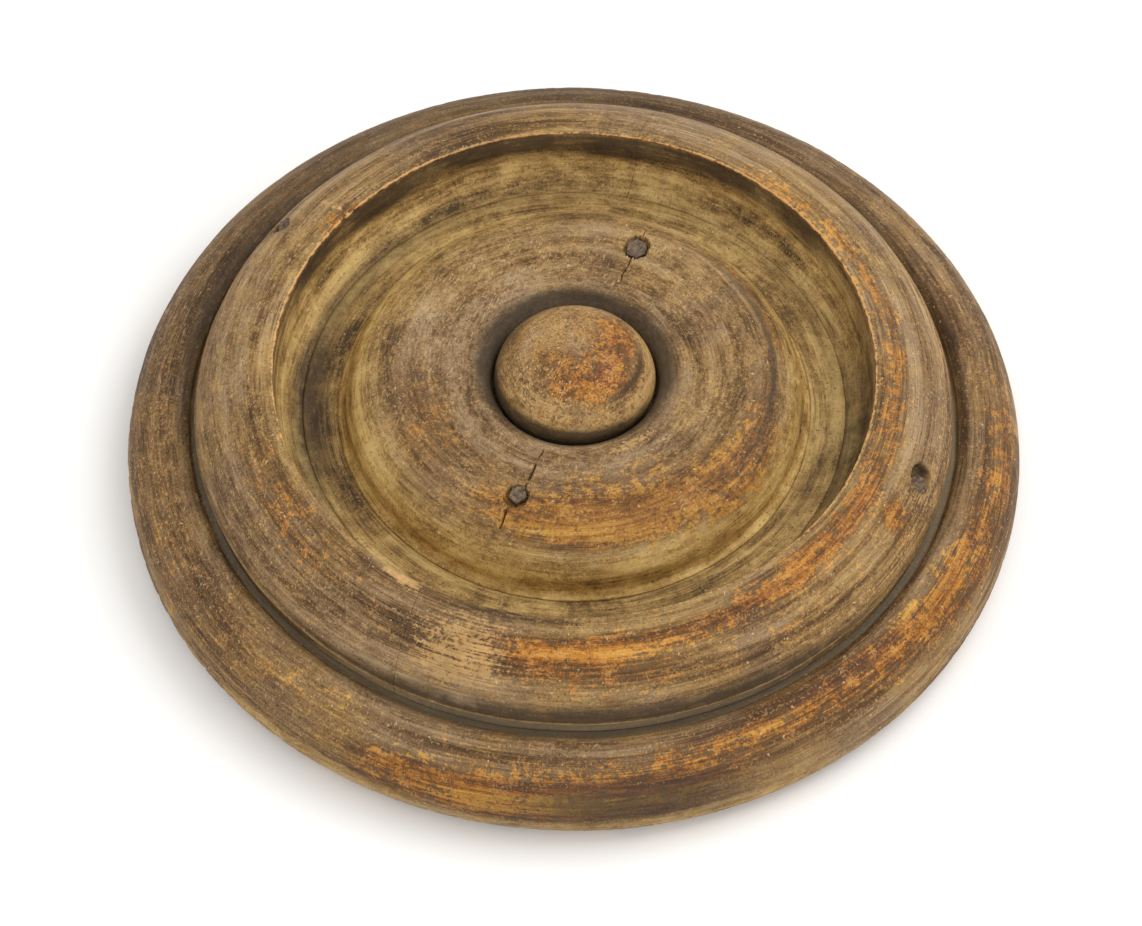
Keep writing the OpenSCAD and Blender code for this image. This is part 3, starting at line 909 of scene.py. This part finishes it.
# %% Wedge finish
def split_beech(name):
    """Pale split wood with long fibres and dark pores."""
    material = bpy.data.materials.new(name)
    material.use_nodes = True
    tree = material.node_tree
    tree.nodes.clear()
    place = add(tree, "ShaderNodeTexCoord").outputs["Object"]
    lengthwise = add(tree, "ShaderNodeVectorMath", {
        0: place, 1: (1 / (0.9 * mm), 1 / (0.9 * mm), 1 / (12 * mm))}, operation="MULTIPLY")
    split = add(tree, "ShaderNodeTexNoise", {"Vector": lengthwise, "Scale": 1.0, "Detail": 4.0}).outputs["Fac"]
    pores = add(tree, "ShaderNodeTexNoise", {"Vector": place, "Scale": 1 / (0.5 * mm), "Detail": 1.0}).outputs["Fac"]
    colour = ramp(tree, split, [(0.3, "#7d5f38"), (0.5, "#a98551"), (0.7, "#c7a571")]).outputs["Color"]
    colour = mixed(tree, maths(tree, "MULTIPLY", between(tree, pores, 0.6, 0.7), 0.6), colour, hex_colour("#4d3920"))
    surface = add(tree, "ShaderNodeBsdfPrincipled", {
        "Base Color": colour, "Roughness": 0.72,
        "Normal": add(tree, "ShaderNodeBump", {"Height": split, "Strength": 0.4, "Distance": 0.2 * mm})})
    add(tree, "ShaderNodeOutputMaterial", {"Surface": surface})
    return material


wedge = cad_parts["knob_wedge"]
wedge_wood = split_beech("split_beech_wedge")
if not wedge.material_slots:
    wedge.data.materials.append(wedge_wood)
for slot in wedge.material_slots:
    slot.link = "OBJECT"
    slot.material = wedge_wood
print("wedge finish on", len(wedge.material_slots), "slot")

# %% [markdown]
# ## Forged nails
#
# A smith drew each nail out to a square point and struck its head with a few blows, which
# leaves a low pyramid with uneven facets. The tree makes a head of a few sides and a tapered
# shank, joins them, and lets a seeded noise knock every corner out of place.

# %% The nail tree
forge = bpy.data.node_groups.new("forged_nail", "GeometryNodeTree")
forge.interface.new_socket("Geometry", in_out="OUTPUT", socket_type="NodeSocketGeometry")
forge.interface.new_socket("Geometry", in_out="INPUT", socket_type="NodeSocketGeometry")
for name, kind, value in (("Head width", "Float", 7.2 * mm), ("Head height", "Float", 2.4 * mm),
                          ("Shank width", "Float", 3.4 * mm), ("Length", "Float", 42 * mm),
                          ("Sides", "Int", 6), ("Hammering", "Float", 0.9 * mm), ("Seed", "Float", 0.0),
                          ("Material", "Material", None)):
    made = forge.interface.new_socket(name, in_out="INPUT", socket_type="NodeSocket" + kind)
    if value is not None:
        made.default_value = value
given = add(forge, "NodeGroupInput")


def scaled(tree, value, factor):
    return add(tree, "ShaderNodeMath", {0: value, 1: factor}, operation="MULTIPLY").outputs[0]


head = add(forge, "GeometryNodeMeshCone", {
    "Vertices": given.outputs["Sides"], "Radius Top": scaled(forge, given.outputs["Head width"], 0.42),
    "Radius Bottom": scaled(forge, given.outputs["Head width"], 0.5), "Depth": given.outputs["Head height"]})
head_place = add(forge, "GeometryNodeTransform", {
    "Geometry": head.outputs["Mesh"],
    "Translation": add(forge, "ShaderNodeCombineXYZ", {"Z": scaled(forge, given.outputs["Head height"], -1.0)})})
shank = add(forge, "GeometryNodeMeshCone", {
    "Vertices": 4, "Radius Top": scaled(forge, given.outputs["Shank width"], 0.7),
    "Radius Bottom": scaled(forge, given.outputs["Shank width"], 0.22),
    "Depth": scaled(forge, given.outputs["Length"], 0.96)})
shank_place = add(forge, "GeometryNodeTransform", {
    "Geometry": shank.outputs["Mesh"],
    "Translation": add(forge, "ShaderNodeCombineXYZ", {"Z": scaled(forge, given.outputs["Length"], -1.0)})})
nail_form = add(forge, "GeometryNodeMeshBoolean", {"Mesh 2": head_place}, operation="UNION")
forge.links.new(shank_place.outputs[0], nail_form.inputs["Mesh 2"])
knock_place = add(forge, "ShaderNodeVectorMath", {
    0: add(forge, "GeometryNodeInputPosition"),
    1: add(forge, "ShaderNodeCombineXYZ", {"X": given.outputs["Seed"]})}, operation="ADD")
knock = add(forge, "ShaderNodeTexNoise", {"Vector": knock_place, "Scale": 1 / (3.1 * mm), "Detail": 1.0})
knock_vector = add(forge, "ShaderNodeVectorMath", {
    0: add(forge, "ShaderNodeVectorMath", {0: knock.outputs["Color"], 1: (0.5, 0.5, 0.5)}, operation="SUBTRACT"),
    "Scale": given.outputs["Hammering"]}, operation="SCALE")
struck = add(forge, "GeometryNodeSetPosition", {"Geometry": nail_form, "Offset": knock_vector})
add(forge, "NodeGroupOutput", {
    "Geometry": add(forge, "GeometryNodeSetMaterial", {
        "Geometry": add(forge, "GeometryNodeRealizeInstances", {"Geometry": struck}),
        "Material": given.outputs["Material"]})})


# %% [markdown]
# ## Forge-black iron
#
# Old nails are black from the forge, with brown rust in their hollows and a dull shine where
# the hammer left them smooth.

# %% Iron
def forged_iron(name):
    material = bpy.data.materials.new(name)
    material.use_nodes = True
    tree = material.node_tree
    tree.nodes.clear()
    place = add(tree, "ShaderNodeTexCoord").outputs["Object"]
    rust = add(tree, "ShaderNodeTexNoise", {"Vector": place, "Scale": 1 / (1.6 * mm), "Detail": 5.0, "Roughness": 0.7})
    colour = ramp(tree, rust.outputs["Fac"], [(0.35, "#3d3127"), (0.47, "#5a4a3b"), (0.58, "#705a43"), (0.7, "#8a6d4d")])
    surface = add(tree, "ShaderNodeBsdfPrincipled", {
        "Base Color": colour.outputs["Color"],
        "Roughness": add(tree, "ShaderNodeMapRange", {0: rust.outputs["Fac"], 1: 0.3, 2: 0.7, 3: 0.5, 4: 0.85}),
        "Metallic": add(tree, "ShaderNodeMapRange", {0: rust.outputs["Fac"], 1: 0.4, 2: 0.6, 3: 0.6, 4: 0.0}),
        "Normal": add(tree, "ShaderNodeBump", {"Height": rust.outputs["Fac"], "Strength": 0.6, "Distance": 0.3 * mm})})
    add(tree, "ShaderNodeOutputMaterial", {"Surface": surface})
    return material


iron = forged_iron("forge_black_iron")
print("iron nodes:", len(iron.node_tree.nodes))

# %% Four nails
for number, (node, sides, width, tilt) in enumerate((
        ("boss_nail_front", 5, 7.4, 9), ("boss_nail_back", 6, 8.2, 3),
        ("rim_nail_left", 6, 6.8, 8), ("rim_nail_right", 6, 6.6, -10))):
    low, high = box_mm(node)
    seed_mesh = bpy.data.meshes.new(node + "_seed")
    nail = grown(node + "_visual", seed_mesh, forge, {
        "Head width": width * mm, "Length": (high.z - low.z) * mm, "Sides": sides,
        "Seed": 0.37 * (number + 1), "Material": iron})
    nail.transform(Matrix.Translation(Vector(((low.x + high.x) / 2, (low.y + high.y) / 2, high.z)) * mm)
                   @ Matrix.Rotation(grain_angle, 4, "Z") @ Matrix.Rotation(math.radians(tilt), 4, "Y")
                   @ Matrix.Diagonal((1.14, 1, 1, 1)) @ Matrix.Rotation(0.26 + 1.1 * (number % 3), 4, "Z"))
    form = bmesh.new()
    form.from_mesh(nail)
    bmesh.ops.recalc_face_normals(form, faces=form.faces)
    print(node, len(form.faces), "faces,", sum(not e.is_manifold for e in form.edges), "open edges")
    form.to_mesh(nail)
    form.free()
    warp(nail)
    piece(node + "_visual", nail, [node])

# %% [markdown]
# ## Floor, light

# %% Studio
floor_mesh = bpy.data.meshes.new("floor")
floor_mesh.from_pydata([(-4, -4, 0), (4, -4, 0), (4, 4, 0), (-4, 4, 0)], [], [(0, 1, 2, 3)])
floor = bpy.data.objects.new("floor", floor_mesh)
bpy.context.scene.collection.objects.link(floor)
paper = bpy.data.materials.new("matt_white_paper")
paper.use_nodes = True
paper_shader = paper.node_tree.nodes["Principled BSDF"]
paper_shader.inputs["Base Color"].default_value = hex_colour("#f4f3f1")
paper_shader.inputs["Roughness"].default_value = 0.9
floor_mesh.materials.append(paper)
floor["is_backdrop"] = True

world = bpy.data.worlds.new("studio")
world.use_nodes = True
world.node_tree.nodes["Background"].inputs["Color"].default_value = (1, 1, 1, 1)
world.node_tree.nodes["Background"].inputs["Strength"].default_value = 0.95
bpy.context.scene.world = world
bpy.context.scene.view_settings.view_transform = "Standard"


def softbox(name, location, size, power):
    """A square soft light that faces the mold."""
    lamp = bpy.data.lights.new(name, "AREA")
    lamp.size = size
    lamp.energy = power
    made = bpy.data.objects.new(name, lamp)
    bpy.context.scene.collection.objects.link(made)
    made.matrix_world = Matrix.Translation(location) @ Vector(location).to_track_quat("Z", "Y").to_matrix().to_4x4()
    return made


softbox("key", (1.0, 0.4, 1.6), 1.4, 17)
softbox("front", (0.3, -2.2, 0.9), 1.0, 14)

# %% Finish
low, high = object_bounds()
